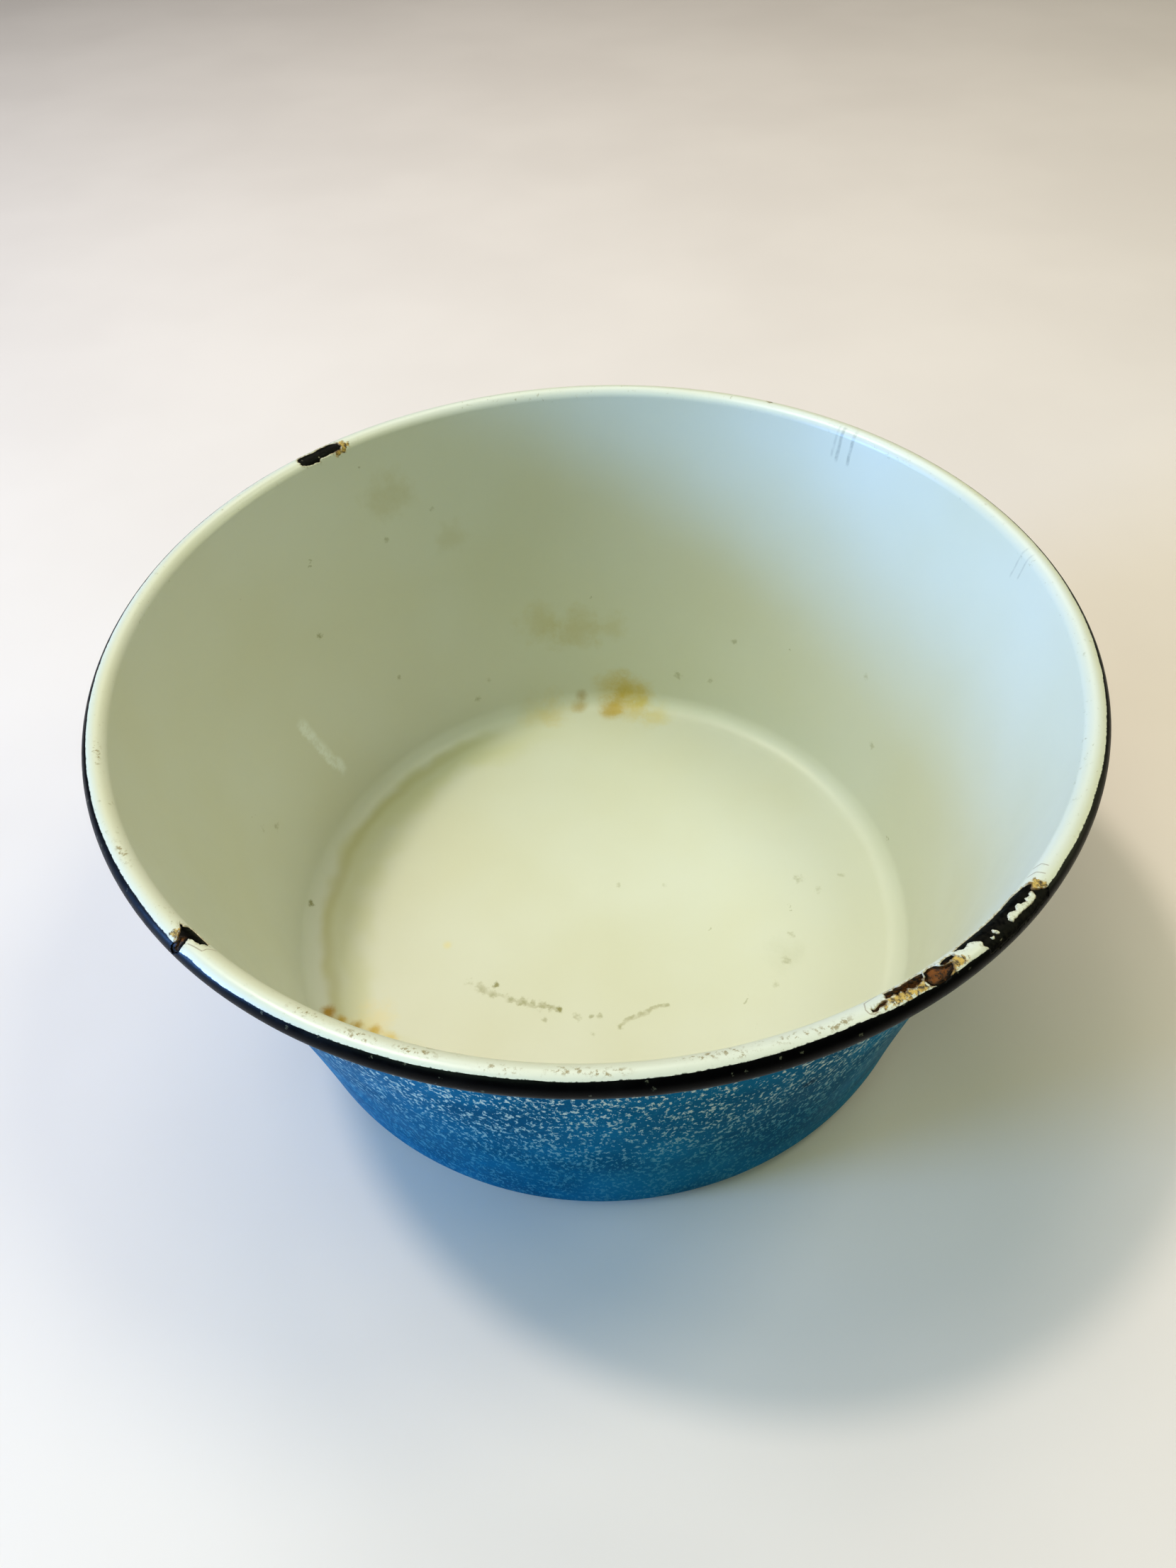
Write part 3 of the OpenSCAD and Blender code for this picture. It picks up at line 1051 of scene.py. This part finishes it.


# Blue enamel: azure glass with pale jagged flecks that ran down the wall as they fired, in loose clusters.
# The flecks are fewer and dimmer towards the base as painted shade of the lower wall; heights are in metres
blueLook = {
    "deep": colour(0, 90, 124),
    "azure": colour(0, 120, 160),
    "veil": colour(16, 126, 164),
    "fleck": colour(60, 160, 182),
    "heart": colour(220, 230, 216),
    "cloud": (30, 3),
    "run": (1, 1, 0.45),
    "jag": (1700, 3, 0.6), "jagReach": 1.4 * mm,
    "cluster": (130, 3), "hearts": (960, 3, 0.6), "small": (1500, 2, 0.5),
    "fleckShadeRise": (0.0, 0.1, 0.35, 0.9), "heartShadeRise": (0.03, 0.11, 0.05, 0.95),
    "blotch": ((46, -104, 74), 3.4, 0.4), "blotchColour": (colour(0, 44, 70), 0.85),
    "worn": (40, 4, 0.6), "rough": (0.3, 0.4),
    "glaze": {"Ripple": 100.0, "Pinholes": 0.12}, "bump": (0.12, 0.4 * mm), "gloss": 0.005,
}


def makeBlueEnamel():
    look = blueLook
    material, shader = newMaterial("blue_enamel_flecked")
    place = objectPlace()
    height = heightOf(place)
    cloud = ramp(noise(place, *look["cloud"]), 0.35, 0.7)
    base = mixColour(cloud, look["deep"], look["azure"])
    run = vectorCalc("MULTIPLY", place, look["run"])
    jag = vectorCalc("SUBTRACT", noise(run, *look["jag"], "Color"), (noiseMiddle,) * 3)
    jagged = vectorCalc("ADD", run, vectorCalc("MULTIPLY", jag, (look["jagReach"],) * 3))
    cluster = noise(run, *look["cluster"])
    hearts = noise(jagged, *look["hearts"])
    veil = ramp(noise(jagged, *look["small"]), 0.56, 0.62)
    base = layOver(base, veil, look["veil"], ramp(cluster, 0.35, 0.6, 0.15, 0.55))
    spread = plus(hearts, ramp(cluster, 0.35, 0.65, -0.02, 0.02))
    # Painted shade: the flecks and their pale hearts fade towards the base
    shown = ramp(height, *look["fleckShadeRise"])
    base = layOver(base, ramp(spread, 0.545, 0.57), look["fleck"], shown)
    heartShadeFade = ramp(height, *look["heartShadeRise"])
    base = layOver(base, ramp(spread, 0.565, 0.6), look["heart"], heartShadeFade)
    blotch = spotMask(*look["blotch"], hearts)
    base = layOver(base, blotch, *look["blotchColour"])
    worn = ramp(noise(place, *look["worn"]), 0.3, 0.75, *look["rough"])
    finishGlass(shader, base, worn, look)
    return material


# Black edge coat: satin, orange-peel fine, with pinpricks of pale wear
blackLook = {
    "black": colour(3, 3, 4), "worn": colour(12, 12, 12), "cloud": (120, 4, 0.6),
    "pricks": {"Grain": 750.0, "Size": 0.34, "Share": 0.12},
    "prick": (colour(132, 132, 112), 0.4),
    "broken": colour(26, 22, 18), "brokenRough": 0.3,
    "peel": (260, 5, 0.65), "rough": (0.3, 0.44),
    "glaze": {"Ripple": 240.0, "Pinholes": 0.35}, "bump": (0.25, 0.2 * mm), "gloss": 0.12,
}


def makeBlackEnamel():
    look = blackLook
    material, shader = newMaterial("black_enamel_edge")
    place = objectPlace()
    cloud = ramp(noise(place, *look["cloud"]), 0.4, 0.75)
    base = mixColour(cloud, look["black"], look["worn"])
    pricks = useGroup(speckGroup, look["pricks"], "Mask")
    base = layOver(base, pricks, *look["prick"])
    broken = ramp(attribute("chipGap"), 0.1, -0.1)
    base = mixColour(broken, base, look["broken"])
    rough = ramp(noise(place, *look["peel"]), 0.3, 0.75, *look["rough"])
    rough = plus(rough, times(broken, look["brokenRough"]))
    finishGlass(shader, base, rough, look)
    return material


# Ground enamel: near-black broken glass with pale splinters, browned where rust has crept over it
groundLook = {
    "dark": colour(5, 5, 5), "paler": colour(30, 27, 21), "grain": (900, 5, 0.65),
    "splinters": {"Grain": 800.0, "Size": 0.3, "Share": 0.06},
    "splinter": (colour(150, 144, 124), 0.6),
    "rust": {"Grain": 1300.0, "Orange": 0.12},
    "rough": (0.32, 0.6), "bump": (0.4, 0.12 * mm), "gloss": 0.1,
}


def makeGroundEnamel():
    look = groundLook
    material, shader = newMaterial("ground_enamel_dark")
    grain = noise(objectPlace(), *look["grain"])
    base = mixColour(ramp(grain, 0.42, 0.74), look["dark"], look["paler"])
    splinters = useGroup(speckGroup, look["splinters"], "Mask")
    base = layOver(base, splinters, *look["splinter"])
    creep = plus(attribute("rustGap"), ramp(grain, 0.3, 0.7, -0.5, 0.6))
    rust = useGroup(rustGroup, look["rust"], "Color")
    base = mixColour(ramp(creep, 0.45, -0.35), base, rust)
    fill(shader, {
        "Base Color": base, "Roughness": ramp(grain, 0.3, 0.7, *look["rough"]),
        "Normal": bump(grain, *look["bump"]), "Specular IOR Level": look["gloss"],
    })
    return material


# Bare steel: rust, brightest in the middle of a patch and dark at its edges
steelLook = {
    "rust": {"Grain": 1000.0, "Orange": 0.6}, "edge": colour(34, 18, 8), "edgeStrength": 0.7,
    "rough": (0.6, 0.95), "bump": (0.6, 0.2 * mm),
}


def makeRustySteel():
    look = steelLook
    material, shader = newMaterial("bare_steel_rusted")
    crust = useGroup(rustGroup, look["rust"], "Color")
    height = crust.node.outputs["Height"]
    patchEdge = ramp(attribute("bareGap"), -0.7, -0.1, 0, look["edgeStrength"])
    fill(shader, {
        "Base Color": mixColour(patchEdge, crust, look["edge"]),
        "Roughness": ramp(height, 0.3, 0.7, *look["rough"]),
        "Normal": bump(height, *look["bump"]),
    })
    return material


# Wire: drawn steel, dull and lightly browned
wireLook = {
    "steel": colour(120, 116, 110), "cloud": (240, 5, 0.6), "rust": {"Grain": 600.0, "Orange": 0.4},
    "metal": (0.9, 0.2), "rough": (0.4, 0.75),
}


def makeWireSteel():
    look = wireLook
    material, shader = newMaterial("wire_steel_drawn")
    cloud = noise(objectPlace(), *look["cloud"])
    rust = useGroup(rustGroup, look["rust"], "Color")
    fill(shader, {
        "Base Color": mixColour(ramp(cloud, 0.45, 0.7), look["steel"], rust),
        "Metallic": ramp(cloud, 0.4, 0.7, *look["metal"]),
        "Roughness": ramp(cloud, 0.3, 0.7, *look["rough"]),
    })
    return material


groundEnamel = makeGroundEnamel()
pieces = [
    (makeSteelBody(), "steel_body", "bare_steel", makeRustySteel()),
    (makeRimWire(), "rim_wire", "wire_steel", makeWireSteel()),
    (makeInnerGround(), "inner_ground_coat", "ground_enamel", groundEnamel),
    (makeOuterGround(), "outer_ground_coat", "ground_enamel", groundEnamel),
    (makeInteriorEnamel(), "interior_enamel", "white_enamel", makeWhiteEnamel()),
    (makeExteriorEnamel(), "exterior_enamel", "blue_enamel", makeBlueEnamel()),
    (makeRimBand(), "rim_band", "black_enamel", makeBlackEnamel()),
]
for piece, node, slot, material in pieces:
    piece.data.materials.append(material)
    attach(piece, "root")
    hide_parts(node)
print("coats dressed:", len(pieces))

# Camera at the photograph's place: aimed at the middle of the rim, then turned by small angles in degrees
shot = {
    "imageHeight": 2212,
    "focal": 1557,            # pixels
    "distance": 294.5 * mm,
    "elevation": 40.52,
    "yaw": 0.45,
    "pitch": 7.47,
    "roll": -2.73,
    "sensor": 36.0,
    "nearest": 0.01,
}


def makeCamera():
    rise = math.radians(shot["elevation"])
    back = Vector((0, -math.cos(rise), math.sin(rise)))
    right = Vector((1, 0, 0))
    down = right.cross(back)
    roll = Matrix.Rotation(math.radians(shot["roll"]), 3, "Z")
    pitch = Matrix.Rotation(math.radians(shot["pitch"]), 3, "X")
    yaw = Matrix.Rotation(math.radians(shot["yaw"]), 3, "Y")
    axes = roll @ pitch @ yaw @ Matrix((right, down, -back))
    lens = bpy.data.cameras.new("photo_camera")
    lens.sensor_fit = "VERTICAL"
    lens.sensor_height = shot["sensor"]
    lens.lens = shot["focal"] * shot["sensor"] / shot["imageHeight"]
    lens.clip_start = shot["nearest"]
    camera = bpy.data.objects.new("photo_camera", lens)
    place = back * shot["distance"] + Vector((0, 0, curlC[1]))
    turn = Matrix((axes[0], -axes[1], -axes[2])).transposed().to_4x4()
    camera.matrix_world = Matrix.Translation(place) @ turn
    bpy.context.scene.collection.objects.link(camera)
    bpy.context.scene.camera = camera


# Floor: a wide pale disc with a faint unevenness in its shade
floorLook = {
    "reach": 1.7, "sides": 96, "pale": colour(227, 213, 209), "paler": colour(232, 218, 214),
    "cloud": (6, 3), "rough": 0.6,
}


def makeFloor():
    turn = np.linspace(0, 2 * math.pi, floorLook["sides"], endpoint=False)
    edgePoints = floorLook["reach"] * np.stack([np.cos(turn), np.sin(turn), 0 * turn], -1)
    mesh = bpy.data.meshes.new("pale_floor")
    mesh.from_pydata(edgePoints, [], [list(range(floorLook["sides"]))])
    floor = bpy.data.objects.new("pale_floor", mesh)
    material, shader = newMaterial("pale_floor_paper")
    cloud = ramp(noise(objectPlace(), *floorLook["cloud"]), 0.3, 0.7)
    base = mixColour(cloud, floorLook["pale"], floorLook["paler"])
    fill(shader, {"Base Color": base, "Roughness": floorLook["rough"]})
    mesh.materials.append(material)
    bpy.context.scene.collection.objects.link(floor)


# Lights: azimuth and elevation in degrees, distance and size in metres, watts, colour; aimed at the basin
lights = {
    "window_left": (195, 13, 1.5, 0.45, 18, (0.2, 0.45, 1.0)),
    "sky_left": (185, 30, 2.0, 1.2, 9.2, (0.5, 0.66, 1.0)),
    "lamp_above": (160, 67, 1.7, 0.17, 7.8, (1.0, 0.96, 0.83)),
    "soft_above": (160, 69, 1.6, 0.6, 4.2, (1.0, 0.96, 0.82)),
    "side_above": (15, 62, 1.8, 0.5, 5.5, (0.94, 0.95, 0.7)),
    "room_right": (0, 40, 2.0, 1.4, 3.6, (0.9, 1.0, 0.7)),
    "low_right": (5, 18, 2.0, 1.0, 5.2, (0.92, 0.94, 0.58)),
    "room_front": (-135, 50, 1.8, 1.2, 7.4, (0.68, 1.0, 0.7)),
    "room_back": (95, 57, 1.8, 0.9, 6, (1.0, 0.96, 0.83)),
}
skyLight = ((1.0, 0.98, 0.95, 1.0), 0.02)
backdrop = (colour(196, 195, 190), 1.0)       # what the camera sees past the floor


def makeLights():
    target = Vector((0, 0, section["height"] / 2))
    for name, (azimuth, rise, distance, size, power, tint) in lights.items():
        lamp = bpy.data.lights.new(name, "AREA")
        lamp.shape = "DISK"
        lamp.size = size
        lamp.energy = power
        lamp.color = tint
        a = math.radians(azimuth)
        e = math.radians(rise)
        away = Vector((math.cos(a) * math.cos(e), math.sin(a) * math.cos(e), math.sin(e)))
        lampObject = bpy.data.objects.new(name, lamp)
        lampObject.location = target + away * distance
        lampObject.rotation_euler = away.to_track_quat("Z", "Y").to_euler()
        bpy.context.scene.collection.objects.link(lampObject)
    world = bpy.data.worlds.new("soft_room")
    world.use_nodes = True
    startTree(world.node_tree)
    sky = put("Background", {"Color": skyLight[0], "Strength": skyLight[1]})
    seen = put("Background", {"Color": backdrop[0], "Strength": backdrop[1]})
    toCamera = put("LightPath").outputs["Is Camera Ray"]
    mixed = put("MixShader", {0: toCamera, 1: sky.outputs[0], 2: seen.outputs[0]})
    put("OutputWorld", {"Surface": mixed.outputs[0]})
    bpy.context.scene.world = world


makeCamera()
makeFloor()
makeLights()
bpy.context.scene.view_settings.view_transform = "Standard"
bpy.context.scene.view_settings.look = "Medium High Contrast"
print("camera, floor and lights placed")
